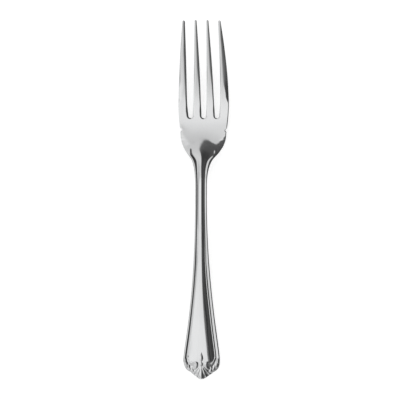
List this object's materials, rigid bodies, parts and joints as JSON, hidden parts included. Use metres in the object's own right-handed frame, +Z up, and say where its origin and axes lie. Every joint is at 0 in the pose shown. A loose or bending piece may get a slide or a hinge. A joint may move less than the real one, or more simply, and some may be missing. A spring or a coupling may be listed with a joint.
{
  "type": "fish fork",
  "caption": "Polished steel fish fork with tapered tines, a side-notched head, a narrow stem and a flared handle with thread borders and a shell end.",
  "frame": {"origin": "on the table, below the middle of the fork's length and width, with the fork lying face up", "axes": "+Y along the fork towards the tine tips, +X across it to the right, +Z up from the table"},
  "size_m": [0.026, 0.182, 0.0112],
  "materials": {
    "steel": "mirror-polished stainless steel"
  },
  "bodies": {
    "root": {"shell_end": "steel", "handle": "steel", "stem": "steel", "shoulders": "steel", "palm": "steel", "tine_outer_left": "steel", "tine_inner_left": "steel", "tine_inner_right": "steel", "tine_outer_right": "steel"}
  },
  "joints": []
}
